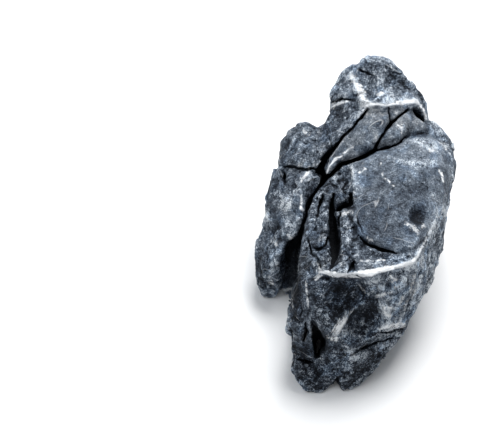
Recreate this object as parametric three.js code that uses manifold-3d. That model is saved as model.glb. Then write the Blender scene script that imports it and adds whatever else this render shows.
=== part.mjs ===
// A Seiryu stone: one loose, weathered piece of blue-grey limestone, as used to landscape aquariums.
// It is one solid. Its lumps, folds, ledges, cracks and hollows are all carved in that one body.
import * as THREE from "three";
import { ConvexHull } from "three/addons/math/ConvexHull.js";
import { ImprovedNoise } from "three/addons/math/ImprovedNoise.js";
import { mergeVertices } from "three/addons/utils/BufferGeometryUtils.js";
import Module from "manifold-3d";

// Driving values, in millimetres and degrees. +Z is up and the stone rests on Z = 0.
const FACE_LEAN = 50; // the show face leans back this far from upright
const SEAM = 2; // radius that blends neighbouring lumps where they meet
const SWELL = 1.7; // height of the broad waves of the surface
const SWELL_LENGTH = 24;
const CHIP = 1; // height of the small chips on the surface
const CHIP_LENGTH = 11;
const SLAB_CALM = 0.25; // share of that relief left on the smooth slab
const GRID = 2.4; // spacing of the samples that the surface is found from
const TRIANGLES = 9800; // triangles kept after thinning
const STAY_WEIGHT = 6e-3; // how strongly thinning keeps vertices where they were
const MOST_TURN_COS = 0.25; // thinning never turns a face further than this
const SLIVER = 0.06; // nor leaves one thinner than this share of its length

const LEAN_COS = Math.cos(THREE.MathUtils.degToRad(FACE_LEAN));
const LEAN_SIN = Math.sin(THREE.MathUtils.degToRad(FACE_LEAN));

// Corners of each convex lump. Those that show are [across, up, height]: across and up are measured
// on the show face, and height from the ground. Hidden corners are plain [x, y, z].
const LUMPS = [
  // Kernel: the bulk of the stone, with the long white vein along its front edge.
  {
    shown: [
      [-9, 82, 90], [4, 87, 94], [24, 93, 98], [33, 98, 100], [46, 103, 98], [62, 101, 88],
      [66, 93, 82], [68, 82, 76], [66.5, 72, 73], [64, 58, 70],
      [-22, 10, 83], [-10, 9, 86], [0, 8, 87], [12, 10, 87.5], [24, 14, 87], [36, 18, 85],
      [41, 27, 84], [47, 36, 82], [55, 46, 79], [61, 53, 75],
      [-20, 71, 86], [-30, 58, 81], [-35, 40, 76], [-38, 20, 71], [-37, 8, 70], [-10, 40, 89],
    ],
    hidden: [[-30, -45, 10], [-30, 50, 12], [45, 70, 12], [40, -20, 12], [10, 90, 20], [50, 30, 30]],
  },
  // Smooth slab that lies on the kernel.
  {
    shown: [
      [-3, 81, 95], [5, 87, 97.5], [14, 90.5, 99.5], [24, 93, 101.5], [34, 98, 103], [46, 101, 102],
      [55, 99, 97], [61, 92, 91], [64.5, 80, 84.5], [63.5, 68, 81], [60, 56, 80], [54, 46, 83],
      [47, 37, 86.5], [37, 27, 90], [24, 25, 91.5], [12, 28, 92], [4, 32, 92.5], [0, 38, 93],
      [-2, 52, 94.5], [-2, 66, 95.5], [22, 58, 99], [36, 72, 100.5], [50, 64, 94.5], [57, 66, 90],
      [50, 84, 97.5], [58, 84, 92], [44, 50, 93.5], [34, 40, 94.5],
    ],
    hidden: [[0, 0, 60], [20, -20, 60], [40, 60, 60], [10, 50, 60]],
  },
  // Right shoulder, behind the slab.
  {
    shown: [
      [44, 113, 99], [50, 112.5, 95], [56, 109.5, 91], [61, 104.5, 87], [65.5, 97, 82], [67, 90, 79],
      [46, 104, 100], [53, 104, 96],
    ],
    hidden: [[44, 60, 50], [58, 70, 50], [40, 90, 50], [54, 92, 58]],
  },
  // Front right flank.
  {
    shown: [
      [0, 8, 86], [12, 10, 87], [24, 14, 87], [36, 18, 85], [41, 27, 84], [55, 46, 79], [61, 53, 75],
      [61.5, 46, 60], [59, 38, 53], [55, 30, 48], [53, 24, 45], [53, 15, 42], [53, 8, 40],
      [52, 0, 37], [42, -11, 36], [40, -18, 33], [33, -26, 29], [5, 2, 80], [10, -5, 73],
      [13, -14, 64], [15, -22, 56], [15, -27, 50], [29, -24, 38], [38, 0, 62], [30, 4, 74],
    ],
    hidden: [[10, -40, 14], [40, 0, 8], [45, 40, 8], [20, 20, 4]],
  },
  // Front foot.
  {
    shown: [
      [-36, 6, 72], [-22, 6, 81], [0, 6, 84.5], [-42, 0, 60], [-46, -13, 50], [-43, -22, 42],
      [-45, -31, 33], [-40, -43, 24], [-32, 4, 76], [-30, -20, 56], [-12, -30, 49], [6, -10, 66],
      [4, -36, 40], [0, -50, 24], [-6, -62, 8], [33, -26, 28], [31, -31, 25], [24, -41, 18],
      [14, -50, 10],
      [7, -59, 4], [1, -66, -2], [-10, -66, -2],
    ],
    hidden: [[-38, -40, 3], [-38, 0, 5], [25, -45, 3], [20, -10, 6], [0, -20, 4], [-8, -92, -2]],
  },
  // Left toe.
  {
    shown: [
      [-40, -43, 24], [-42, -55, 14], [-38, -60, 9], [-33, -67, 3], [-28, -72, -2], [-23, -72, -2],
      [-18, -68, -2], [-14, -63, 2], [-16, -50, 15], [-20, -42, 22], [-30, -52, 19],
    ],
    hidden: [[-38, -50, -2], [-10, -50, -2]],
  },
  // Right toe.
  {
    shown: [[-11, -62, 5], [-10, -66, -2], [1, -66, -2], [7, -59, 3], [12, -52, 9], [2, -52, 21]],
    hidden: [[18, -62, -2], [-6, -55, -2], [14, -45, -2]],
  },
  // Head, left.
  {
    shown: [
      [-16, 119, 99], [-17.5, 130, 106], [-15, 134.5, 108], [-10, 141.5, 112], [-5, 147.5, 116],
      [0, 149, 118], [-13, 122, 105], [0, 123, 113], [4, 118, 112], [8, 132, 118], [-3, 137, 116],
    ],
    hidden: [[-8, 92, 40], [15, 100, 50], [-10, 70, 60], [15, 70, 60]],
  },
  // White ridge down the middle of the head.
  {
    shown: [
      [-1, 142, 118], [3, 140, 119], [7, 131, 118.5], [10, 124, 117.5], [2, 122, 115.5], [-1, 131, 117],
    ],
    hidden: [[-2, 95, 90], [10, 95, 90], [4, 80, 80]],
  },
  // Head, crown.
  {
    shown: [
      [0, 148, 119], [4, 152.5, 123], [8, 155.5, 126], [14, 156.5, 127], [20, 154.5, 126],
      [24, 151, 123], [29, 145.5, 120], [2, 126, 115], [12, 122, 114.5], [20, 121, 115.5],
      [30, 122, 115], [30, 134, 120], [14, 138, 122.5],
    ],
    hidden: [[0, 104, 50], [14, 112, 60], [34, 104, 50], [10, 70, 60], [30, 70, 60]],
  },
  // Head, right.
  {
    shown: [
      [28, 145, 120], [33, 142, 119], [38, 138.5, 116], [42, 133.5, 113], [46, 129.5, 109],
      [49, 124, 104], [50.5, 117, 99], [50, 111, 96], [47, 115, 103], [43, 120, 110], [38, 122, 114],
      [28, 122, 115], [34, 132, 119.5],
    ],
    hidden: [[28, 104, 40], [50, 90, 40], [30, 70, 60], [48, 66, 60]],
  },
  // Rim under the head, which overhangs the folds.
  {
    shown: [
      [2, 119.5, 112.5], [12, 119.5, 115], [22, 119, 116], [34, 120, 115.5], [41, 121.5, 112.5],
      [44, 119, 109], [41, 126, 115.5], [28, 125, 118], [12, 125, 118], [3, 125, 116.5],
    ],
    hidden: [[8, 95, 90], [36, 95, 90], [20, 80, 80]],
  },
  // Strip under the head, left of the folds.
  {
    shown: [
      [-16, 119, 99], [-19, 112, 95], [-22, 107, 91], [-24, 97, 90], [-25, 88, 87], [-21, 85, 88],
      [-16, 91, 93], [-11, 97, 98.5], [-6, 103, 103.5], [0, 109, 108.5], [6, 118, 113], [0, 123, 112],
      [-12, 108, 102],
    ],
    hidden: [[-20, 80, 30], [10, 80, 30], [-10, 30, 50]],
  },
  // Fold beside the long crack.
  {
    shown: [
      [7, 117, 109], [12, 121, 111], [22, 119, 111.5], [24, 110, 108], [17, 102, 106.5],
      [12, 95, 103], [-1, 94.5, 102], [-8, 89.5, 98], [-15, 83.5, 93], [-19, 76, 88],
      [-14, 90, 95], [-7, 99, 101], [0, 107, 106], [6, 105, 108],
    ],
    hidden: [[20, 75, 50], [-10, 30, 50], [20, 30, 50], [-20, 30, 60]],
  },
  // Fold under the rim.
  {
    shown: [
      [24, 119, 112], [35, 119, 112], [40, 117, 109], [47, 110, 103], [47, 105, 101], [36, 102, 103.5],
      [28, 98.5, 104.5], [20, 96, 103.5], [15, 95, 101], [18, 101, 105], [24, 109, 109.5],
      [34, 109, 110],
    ],
    hidden: [[20, 75, 50], [48, 70, 50], [20, 30, 50], [44, 30, 50]],
  },
  // Shoulder on the left.
  {
    shown: [
      [-38, 109, 85], [-33, 111, 87], [-29, 109, 87], [-26, 106, 87], [-22, 107, 90], [-50, 100, 74],
      [-51, 88, 71], [-20, 90, 90], [-22, 82, 86], [-35, 81, 82], [-50, 81, 72], [-36, 94, 87],
    ],
    hidden: [[-46, 70, 15], [-20, 80, 15], [-45, 45, 30], [-20, 40, 30]],
  },
  // Knob on that shoulder.
  {
    shown: [[-45, 106, 82], [-38, 109.5, 86], [-33, 104, 88], [-42, 96, 85], [-48, 99, 80]],
    hidden: [[-40, 75, 70]],
  },
  // Lobe, upper part.
  {
    shown: [
      [-54, 79, 64], [-47, 79, 71], [-30, 79, 80], [-24, 75, 78], [-24, 70, 74], [-36, 70, 77],
      [-36, 60, 73.5], [-35, 52, 69], [-30, 62, 70], [-34, 50, 65], [-37, 40, 60], [-42, 30, 53],
      [-56, 62, 58], [-57, 68, 58], [-59, 60, 52], [-60, 50, 46], [-61, 40, 40], [-52, 48, 56],
    ],
    hidden: [[-50, 60, 5], [-25, 60, 5], [-50, 20, 10], [-30, 30, 20]],
  },
  // Lobe, lower part.
  {
    shown: [
      [-61, 40, 40], [-65, 31, 34], [-66.5, 21, 28], [-67, 8, 19], [-65, -4, 9], [-60, -8, 1],
      [-53, -7, 2], [-49.5, -2, 12], [-48, 5, 26], [-46, 15, 36], [-44.5, 25, 46], [-41, 32, 54],
      [-53, 20, 43],
    ],
    hidden: [[-60, 40, -2], [-57, -9, -2], [-50, 2, -2], [-42, 40, -2]],
  },
  // Web that joins the lobe to the kernel, deep in the gap.
  {
    shown: [],
    hidden: [
      [-58, 4, -2], [-44, -12, -2], [-34, -14, 6], [-34, -4, 30], [-52, 14, 22], [-50, 36, 48],
      [-32, 30, 58], [-34, 60, 10], [-56, 50, 10],
    ],
  },
  // Knuckle on the lower lobe.
  {
    shown: [[-60, 18, 31], [-52, 21, 44], [-48, 14, 38], [-54, 6, 28], [-62, 8, 22]],
    hidden: [[-55, 20, 15]],
  },
  // Back.
  {
    shown: [],
    hidden: [
      [-40, 60, 6], [-35, 85, 10], [0, 102, 8], [35, 96, 8], [50, 70, 6], [45, 20, 6], [-20, 0, 8],
      [-30, 85, 60], [0, 103, 75], [30, 106, 80], [52, 84, 60], [60, 55, 50], [20, 70, 90],
    ],
  },
  // Ledge across the back.
  {
    shown: [],
    hidden: [
      [-30, 94, 34], [2, 110, 40], [28, 107, 34], [36, 103, 12], [-26, 92, 6], [2, 111, 12],
      [0, 95, 48], [20, 95, 50], [-20, 88, 44], [0, 60, 10],
    ],
  },
  // Block high on the back.
  {
    shown: [],
    hidden: [
      [-14, 96, 92], [2, 104, 98], [6, 108, 80], [-12, 101, 70], [4, 109, 66], [-16, 90, 60],
      [8, 80, 60], [0, 80, 98],
    ],
  },
  // Buttress at the back right.
  {
    shown: [],
    hidden: [
      [62, 72, 62], [64, 60, 56], [58, 86, 30], [46, 98, 26], [60, 66, 22], [44, 96, 66],
      [56, 84, 62], [40, 60, 10], [40, 60, 60],
    ],
  },
  // Ledge low on the right side.
  {
    shown: [],
    hidden: [
      [52, 26, 26], [57, 50, 24], [53, 66, 10], [44, 14, 8], [50, 24, 36], [55, 50, 38],
      [30, 50, 4], [30, 20, 10],
    ],
  },
  // Feet at the back left and on the right.
  { shown: [], hidden: [[-34, 66, -2], [-30, 86, -2], [2, 98, -2], [8, 84, -2], [-14, 62, -2], [-14, 78, 22]] },
  { shown: [], hidden: [[42, 26, -2], [50, 62, -2], [40, 78, -2], [26, 70, -2], [28, 34, -2], [38, 52, 22]] },
];

// Cracks of the show face. Each point of a route is [across, up, width, depth].
const SHOW_CRACKS = [
  // The long crack, from beside the slab to the gap behind the lobe.
  [
    [36, 101, 1, 3], [29, 95.5, 1.6, 6], [23, 92.5, 2, 8], [13, 91, 2.6, 12], [6, 87, 3.2, 13],
    [-1, 84.5, 3.4, 14], [-9, 82, 3.6, 14], [-14, 77, 3.6, 16], [-19, 71.5, 3.4, 18],
    [-24, 66, 3, 20], [-29, 59, 2.8, 22], [-32, 50, 2.6, 24], [-34, 42, 3, 26], [-37, 34, 5, 34],
    [-42, 26, 9, 44], [-44, 14, 11, 50], [-45, 2, 10, 55], [-48, -12, 9, 60],
  ],
  // Under the head, between the folds, and a short branch.
  [
    [8, 119, 1.4, 4], [4, 113, 2.2, 7], [0, 108, 1.8, 8], [-6, 102.5, 2.4, 10], [-11, 96, 2.8, 12],
    [-16, 90, 3.6, 13], [-21, 84, 4.4, 14], [-24, 77, 3, 13],
  ],
  [[35, 118.5, 1.6, 4], [29, 113, 2.2, 6], [23, 108, 2.4, 8], [17, 100, 2, 8], [12, 91, 2, 10]],
  [[22.5, 119, 1, 4], [23, 109, 1.6, 6]],
  // Pocket under the right end of the rim.
  [[39, 118.5, 1.5, 6], [42.5, 114.5, 5.5, 9], [46, 110.5, 2.5, 4]],
  // Undercut edge of the slab.
  [
    [1, 34, 1, 3], [4, 30.5, 2.2, 5], [9, 27.5, 3, 7], [15, 25.5, 3, 7], [20, 24.8, 2.6, 6],
    [25, 23, 1, 3],
  ],
  // Grooves, nicks and a pit in the rough strip between the long crack and the slab.
  [
    [-15, 62, 2, 4], [-16, 54, 4, 9], [-16, 46, 5, 12], [-15, 38, 7, 15], [-14.5, 29, 8, 16],
    [-15, 20, 5.5, 11], [-17, 13, 1.5, 4],
  ],
  [[-22, 61, 1.5, 4], [-24, 54, 2.5, 6], [-26, 47, 1.5, 4]],
  [[-12, 51, 3, 5], [-8, 54, 5, 7], [-4, 56, 4.5, 7], [-3, 62, 2, 4]],
  [[-20, 30, 1.5, 4], [-24, 26, 2.5, 5], [-28, 25, 1.5, 3]],
  [[-3, 19, 1.5, 4], [-4, 14.5, 2.8, 5], [-8, 11.5, 1.5, 3]],
  // Creases on the head.
  [[-14, 124, 1.4, 3], [-8, 125.5, 1.6, 4], [-3, 125, 1.6, 4], [0, 124, 1, 2]],
  [[3, 146, 1.2, 3], [8, 143, 2, 4], [13, 141, 1.2, 3]],
  // Between the shoulder and the lobe, and a pit in the lobe.
  [[-47, 80.5, 1.2, 3], [-42, 80.5, 1.6, 4], [-35, 78.5, 2, 4], [-28, 79.5, 2, 4], [-23, 76, 2.4, 5]],
  [[-46.5, 75.5, 2.5, 4], [-46, 69.5, 2.2, 4]],
  // Black hole in the front, and a smaller one beside it.
  [[-30, -21, 3, 4], [-26.5, -28, 6, 9], [-24, -35, 9, 14], [-25, -44, 5, 6]],
  [[-34, -22, 2, 3], [-33, -28, 3.5, 6], [-35, -34, 2, 3]],
  // Nick above the left toe, and the notch between the toes.
  [[-38, -46, 2, 3], [-33, -48.5, 4, 6], [-28, -49, 2, 3]],
  [[-13, -72, 7, 14], [-13, -63, 3, 9], [-11, -56, 1, 3]],
  // Steps under the flank and across the dark right foot.
  [[15, -28, 1.2, 2], [21, -28.8, 1.8, 2.5], [27, -28, 1, 1.5]],
  [[-4, -43, 1.5, 2.5], [6, -39, 2.4, 3.5], [14, -36, 1.6, 2.5], [21, -34.5, 1, 1.5]],
];

// Cracks of the back, as [x, z, width, depth], and of the two sides, as [y, z, width, depth].
const BACK_CRACKS = [
  [[-14, 104, 1.5, 3], [-12, 96, 3, 6], [-15, 80, 4, 9], [-9, 62, 4, 8], [-12, 48, 2, 4]],
  [[25, 104, 1.5, 3], [27, 94, 3, 6], [31, 82, 3.5, 8], [26, 62, 3, 6], [30, 48, 2, 4]],
  [[-38, 52, 2, 4], [-24, 47, 3, 6], [-6, 51, 3, 6], [14, 53, 3.5, 7], [34, 47, 2, 5], [50, 50, 1.5, 3]],
  [[8, 40, 1.5, 3], [12, 26, 3, 6], [7, 10, 3, 6], [9, -4, 2, 4]],
];
const RIGHT_CRACKS = [
  [[-52, 34, 1.5, 3], [-30, 44, 2.4, 5], [-6, 42, 3, 6], [14, 48, 2.4, 5], [30, 60, 1.5, 3]],
  [[-20, 66, 1.5, 3], [-12, 50, 2.5, 5], [-14, 34, 2, 4], [-8, 14, 1.5, 3]],
  [[40, 74, 1.5, 3], [48, 58, 3, 6], [45, 44, 2, 4]],
  [[72, 100, 2, 4], [66, 84, 3, 6], [70, 66, 3, 6], [64, 46, 2, 4]],
];
const LEFT_CRACKS = [
  [[-76, 8, 1.5, 3], [-62, 20, 2.4, 5], [-44, 22, 2.4, 5], [-30, 32, 1.5, 3]],
  [[14, 60, 1.5, 3], [28, 48, 2.6, 5], [44, 44, 2.6, 5], [62, 50, 1.5, 3]],
  [[30, 30, 1.5, 3], [40, 16, 2.4, 4], [38, 4, 1.5, 3]],
];

// Ellipsoid hollows of the show face: the middle as [across, up, height], and the half-sizes across,
// up and out.
const HOLLOWS = [
  // The dark facet under the white vein is two of them that meet in a ridge.
  { middle: [-5, -8, 74.5], half: [22, 17, 17] },
  { middle: [5, -25, 56], half: [14, 17, 16] },
  // Shallow round dish in the slab.
  { middle: [40, 48.5, 101], half: [8, 9, 13] },
  // Recess in the crown, and one in the head's right part.
  { middle: [10, 136, 123.5], half: [6, 7, 8] },
  { middle: [29, 138, 124.8], half: [11, 8, 9] },
  // Dark left edge of the front foot.
  { middle: [-47, -33, 36], half: [7, 10, 10] },
];

// Cracks with the way each set is looked at: two measures on that side, and how far past the depth
// where that side's cracks end.
const VIEWS = [
  { cracks: SHOW_CRACKS, see: (x, y, z) => [x, toUp(y, z), toOut(y, z) - 18] },
  { cracks: BACK_CRACKS, see: (x, y, z) => [x, z, y - 84] },
  { cracks: RIGHT_CRACKS, see: (x, y, z) => [y, z, x - 38] },
  { cracks: LEFT_CRACKS, see: (x, y, z) => [y, z, -30 - x] },
].map(({ cracks, see }) => ({ see, cracks: cracks.map(withReach) }));

const noise = new ImprovedNoise();
const lumpPlanes = LUMPS.map(hullPlanes);

// How far up the show face a point is, and how far out towards a viewer who faces it.
function toUp(y, z) {
  return y * LEAN_SIN + z * LEAN_COS;
}

function toOut(y, z) {
  return z * LEAN_SIN - y * LEAN_COS;
}

function cornerPoint([across, up, height]) {
  return new THREE.Vector3(across, (up - height * LEAN_COS) / LEAN_SIN, height);
}

// The flat faces of the hull of a lump's corners, as [nx, ny, nz, offset], with repeats left out.
function hullPlanes(lump) {
  const points = [
    ...lump.shown.map(cornerPoint),
    ...lump.hidden.map((p) => new THREE.Vector3(...p)),
  ];
  const planes = [];
  for (const { normal, constant } of new ConvexHull().setFromPoints(points).faces) {
    const repeat = planes.some(
      ([x, y, z, d]) => x * normal.x + y * normal.y + z * normal.z > 0.9995 && Math.abs(d - constant) < 0.2,
    );
    if (!repeat) planes.push([normal.x, normal.y, normal.z, constant]);
  }
  return planes;
}

function smoothMin(a, b, radius) {
  const h = Math.max(radius - Math.abs(a - b), 0) / radius;
  return Math.min(a, b) - h * h * radius * 0.25;
}

function lumpsField(x, y, z) {
  let value = Infinity;
  for (const planes of lumpPlanes) {
    let inside = -Infinity;
    for (const [nx, ny, nz, offset] of planes) {
      inside = Math.max(inside, nx * x + ny * y + nz * z - offset);
      if (inside > value + SEAM) break;
    }
    value = smoothMin(value, inside, SEAM);
  }
  return value;
}

// A crack's route with the box that holds everything it can cut.
function withReach(route) {
  const most = (i) => Math.max(...route.map((point) => point[i]));
  const least = (i) => Math.min(...route.map((point) => point[i]));
  const spare = most(2) / 2;
  return { route, low: [least(0) - spare, least(1) - spare], high: [most(0) + spare, most(1) + spare] };
}

// How far a point is from a route, with the route's width and depth there.
function nearestOnRoute(route, a, b) {
  let best = { distance: Infinity };
  for (let i = 0; i + 1 < route.length; i++) {
    const [ax, ay, aWidth, aDepth] = route[i];
    const [bx, by, bWidth, bDepth] = route[i + 1];
    const [dx, dy] = [bx - ax, by - ay];
    const share = THREE.MathUtils.clamp(((a - ax) * dx + (b - ay) * dy) / (dx * dx + dy * dy), 0, 1);
    const distance = Math.hypot(a - ax - share * dx, b - ay - share * dy);
    if (distance < best.distance) {
      best = {
        distance,
        width: THREE.MathUtils.lerp(aWidth, bWidth, share),
        depth: THREE.MathUtils.lerp(aDepth, bDepth, share),
      };
    }
  }
  return best;
}

// A groove that follows the surface: its walls close to nothing at the depth.
function cut(value, { route, low, high }, a, b) {
  const spare = GRID + Math.max(value, 0);
  if (a < low[0] - spare || a > high[0] + spare || b < low[1] - spare || b > high[1] + spare) return value;
  const { distance, width, depth } = nearestOnRoute(route, a, b);
  const share = THREE.MathUtils.clamp(-value / depth, 0, 1);
  const wall = distance - (width / 2) * (1 - share * share);
  return Math.max(value, -Math.max(wall, -(value + depth)));
}

// Takes an ellipsoid away.
function scoop(value, { middle, half }, across, up, out) {
  const centre = cornerPoint(middle);
  const share = Math.hypot(
    (across - centre.x) / half[0],
    (up - middle[1]) / half[1],
    (out - toOut(centre.y, centre.z)) / half[2],
  );
  return Math.max(value, (1 - share) * Math.min(...half));
}

// Below 0 in the stone and above 0 outside it.
function stoneField(x, y, z) {
  const up = toUp(y, z);
  const out = toOut(y, z);
  let value = lumpsField(x, y, z);
  const onSlab = THREE.MathUtils.smoothstep(1.15 - Math.hypot((x - 31) / 34, (up - 62) / 40), 0, 0.3);
  const relief = THREE.MathUtils.lerp(1, SLAB_CALM, out > 40 ? onSlab : 0);
  value += relief * SWELL * noise.noise(x / SWELL_LENGTH + 5, y / SWELL_LENGTH, z / SWELL_LENGTH);
  value += relief * CHIP * noise.noise(x / CHIP_LENGTH, y / CHIP_LENGTH + 7, z / CHIP_LENGTH);
  for (const { cracks, see } of VIEWS) {
    const [a, b, reach] = see(x, y, z);
    if (reach > 0) for (const crack of cracks) value = cut(value, crack, a, b);
  }
  if (out > 0) for (const hollow of HOLLOWS) value = scoop(value, hollow, x, up, out);
  return value;
}

// Marching tetrahedra: every cube of the grid is parted in six, so that the surface is always closed.
function polygonise(field, low, high, step) {
  const count = high.clone().sub(low).divideScalar(step).ceil();
  const [nx, ny, nz] = [count.x + 1, count.y + 1, count.z + 1];
  const values = new Float32Array(nx * ny * nz);
  const place = (i, axis) => {
    const n = axis === 0 ? i % nx : axis === 1 ? Math.floor(i / nx) % ny : Math.floor(i / (nx * ny));
    return low.getComponent(axis) + n * step;
  };
  for (let i = 0; i < values.length; i++) values[i] = field(place(i, 0), place(i, 1), place(i, 2));
  const positions = [];
  const triangles = [];
  const made = new Map();
  const vertex = (a, b) => {
    const key = a < b ? a * values.length + b : b * values.length + a;
    if (!made.has(key)) {
      const share = THREE.MathUtils.clamp(values[a] / (values[a] - values[b]), 0.12, 0.88);
      for (let axis = 0; axis < 3; axis++)
        positions.push(place(a, axis) + share * (place(b, axis) - place(a, axis)));
      made.set(key, positions.length / 3 - 1);
    }
    return made.get(key);
  };
  const ways = [1, nx, nx * ny];
  const orders = [[0, 1, 2], [1, 2, 0], [2, 0, 1], [0, 2, 1], [2, 1, 0], [1, 0, 2]];
  for (let k = 0; k + 1 < nz; k++)
    for (let j = 0; j + 1 < ny; j++)
      for (let i = 0; i + 1 < nx; i++) {
        const first = i + j * nx + k * nx * ny;
        orders.forEach((order, n) => {
          const corners = [first];
          for (const axis of order) corners.push(corners.at(-1) + ways[axis]);
          const inner = corners.filter((c) => values[c] < 0);
          const outer = corners.filter((c) => values[c] >= 0);
          if (!inner.length || !outer.length) return;
          let ring;
          if (inner.length === 1) ring = outer.map((c) => vertex(inner[0], c));
          else if (outer.length === 1) ring = inner.map((c) => vertex(c, outer[0]));
          else ring = [vertex(inner[0], outer[0]), vertex(inner[0], outer[1]),
            vertex(inner[1], outer[1]), vertex(inner[1], outer[0])];
          // The order of a tetrahedron's corners says which way its faces point.
          const turned = [...inner, ...outer].map((c) => corners.indexOf(c));
          let swaps = n > 2 ? 1 : 0;
          for (let a = 0; a < 4; a++) for (let b = a + 1; b < 4; b++) if (turned[a] > turned[b]) swaps++;
          if (swaps % 2) ring.reverse();
          for (let t = 1; t + 1 < ring.length; t++) triangles.push(ring[0], ring[t], ring[t + 1]);
        });
      }
  return { positions, triangles };
}

// Thins a closed mesh by joining the two ends of the edge that matters least, again and again.
// Each vertex carries the sum of the squared distances to its faces' planes, as ten numbers.
function simplify({ positions, triangles }, target) {
  const point = Float64Array.from(positions);
  const face = Int32Array.from(triangles);
  const count = point.length / 3;
  const around = Array.from({ length: count }, () => new Set());
  for (let f = 0; f < face.length; f++) around[face[f]].add(Math.floor(f / 3));
  const quadric = new Float64Array(count * 10);
  const stamp = new Int32Array(count);

  const normalOf = (p, q, r) => {
    const [ax, ay, az] = [q[0] - p[0], q[1] - p[1], q[2] - p[2]];
    const [bx, by, bz] = [r[0] - p[0], r[1] - p[1], r[2] - p[2]];
    return [ay * bz - az * by, az * bx - ax * bz, ax * by - ay * bx];
  };
  const at = (v) => [point[3 * v], point[3 * v + 1], point[3 * v + 2]];
  const addPlane = (v, [x, y, z], d, weight) => {
    const terms = [x * x, x * y, x * z, x * d, y * y, y * z, y * d, z * z, z * d, d * d];
    terms.forEach((term, i) => (quadric[10 * v + i] += weight * term));
  };
  for (let f = 0; f < face.length; f += 3) {
    const [a, b, c] = [at(face[f]), at(face[f + 1]), at(face[f + 2])];
    const n = normalOf(a, b, c);
    const size = Math.hypot(...n);
    if (size < 1e-12) continue;
    const unit = n.map((x) => x / size);
    const d = -(unit[0] * a[0] + unit[1] * a[1] + unit[2] * a[2]);
    for (let k = 0; k < 3; k++) {
      addPlane(face[f + k], unit, d, size);
      // A weak pull to where the vertex was keeps flat areas evenly divided.
      [[1, 0, 0], [0, 1, 0], [0, 0, 1]].forEach((axis, i) =>
        addPlane(face[f + k], axis, -at(face[f + k])[i], size * STAY_WEIGHT));
    }
  }

  const best = (a, b) => {
    const q = Array.from({ length: 10 }, (_, i) => quadric[10 * a + i] + quadric[10 * b + i]);
    const [xx, xy, xz, xd, yy, yz, yd, zz, zd, dd] = q;
    const m = new THREE.Matrix3(xx, xy, xz, xy, yy, yz, xz, yz, zz);
    const middle = [0, 1, 2].map((i) => (point[3 * a + i] + point[3 * b + i]) / 2);
    let p = middle;
    if (Math.abs(m.determinant()) > 1e-9) {
      const solved = new THREE.Vector3(-xd, -yd, -zd).applyMatrix3(m.invert()).toArray();
      const reach = Math.hypot(...at(a).map((x, i) => x - at(b)[i]));
      if (Math.hypot(...solved.map((x, i) => x - middle[i])) < reach) p = solved;
    }
    const [x, y, z] = p;
    const cost = xx * x * x + 2 * xy * x * y + 2 * xz * x * z + 2 * xd * x + yy * y * y
      + 2 * yz * y * z + 2 * yd * y + zz * z * z + 2 * zd * z + dd;
    return { a, b, p, cost, stamps: stamp[a] + stamp[b] };
  };

  const heap = [];
  const push = (item) => {
    let i = heap.push(item) - 1;
    while (i > 0) {
      const up = (i - 1) >> 1;
      if (heap[up].cost <= item.cost) break;
      heap[i] = heap[up];
      i = up;
    }
    heap[i] = item;
  };
  const pop = () => {
    const top = heap[0];
    const last = heap.pop();
    if (!heap.length) return top;
    let i = 0;
    for (;;) {
      let child = 2 * i + 1;
      if (child >= heap.length) break;
      if (child + 1 < heap.length && heap[child + 1].cost < heap[child].cost) child++;
      if (heap[child].cost >= last.cost) break;
      heap[i] = heap[child];
      i = child;
    }
    heap[i] = last;
    return top;
  };
  const neighbours = (v) => {
    const found = new Set();
    for (const f of around[v]) for (let k = 0; k < 3; k++) found.add(face[3 * f + k]);
    found.delete(v);
    return found;
  };

  // How broad a face is for its longest side.
  const breadth = (corners, normal) => {
    const sides = corners.map((c, k) => {
      const next = corners[(k + 1) % 3];
      return (c[0] - next[0]) ** 2 + (c[1] - next[1]) ** 2 + (c[2] - next[2]) ** 2;
    });
    return Math.hypot(...normal) / Math.max(...sides, 1e-12);
  };

  // True if no face around v, other than those that vanish, turns over or becomes more of a sliver.
  const allowed = (v, gone, p) => {
    for (const f of around[v]) {
      if (gone.has(f)) continue;
      const corners = [0, 1, 2].map((k) => face[3 * f + k]);
      const still = corners.map(at);
      const moved = corners.map((c, k) => (c === v ? p : still[k]));
      const before = normalOf(...still);
      const after = normalOf(...moved);
      const breadthBefore = breadth(still, before);
      const breadthAfter = breadth(moved, after);
      if (breadthAfter < SLIVER && breadthAfter < breadthBefore) return false;
      const turn = before[0] * after[0] + before[1] * after[1] + before[2] * after[2];
      const sizes = Math.hypot(...before) * Math.hypot(...after);
      if (breadthBefore > SLIVER / 4 && turn < MOST_TURN_COS * sizes) return false;
    }
    return true;
  };

  let left = face.length / 3;
  // A join that isn't allowed may be allowed later, so the edges that stay are gone through again.
  for (let before = Infinity; left > target && left < before;) {
    before = left;
    for (let v = 0; v < count; v++) for (const n of neighbours(v)) if (v < n) push(best(v, n));
    while (left > target && heap.length) {
      const { a, b, p, stamps } = pop();
      if (stamps !== stamp[a] + stamp[b] || !around[a].size || !around[b].size) continue;
      const shared = new Set([...around[a]].filter((f) => around[b].has(f)));
      if (shared.size !== 2) continue;
      const nearB = neighbours(b);
      if ([...neighbours(a)].filter((n) => nearB.has(n)).length !== 2) continue;
      if (!allowed(a, shared, p) || !allowed(b, shared, p)) continue;
      for (const f of shared) for (let k = 0; k < 3; k++) around[face[3 * f + k]].delete(f);
      left -= 2;
      for (const f of around[b]) {
        for (let k = 0; k < 3; k++) if (face[3 * f + k] === b) face[3 * f + k] = a;
        around[a].add(f);
      }
      around[b].clear();
      point.set(p, 3 * a);
      for (let i = 0; i < 10; i++) quadric[10 * a + i] += quadric[10 * b + i];
      stamp[a]++;
      for (const n of neighbours(a)) push(best(a, n));
    }
  }
  const kept = new Set(around.flatMap((faces) => [...faces]));
  return { positions: point, triangles: [...kept].flatMap((f) => [...face.subarray(3 * f, 3 * f + 3)]) };
}

const kit = await Module();
kit.setup();

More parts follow.
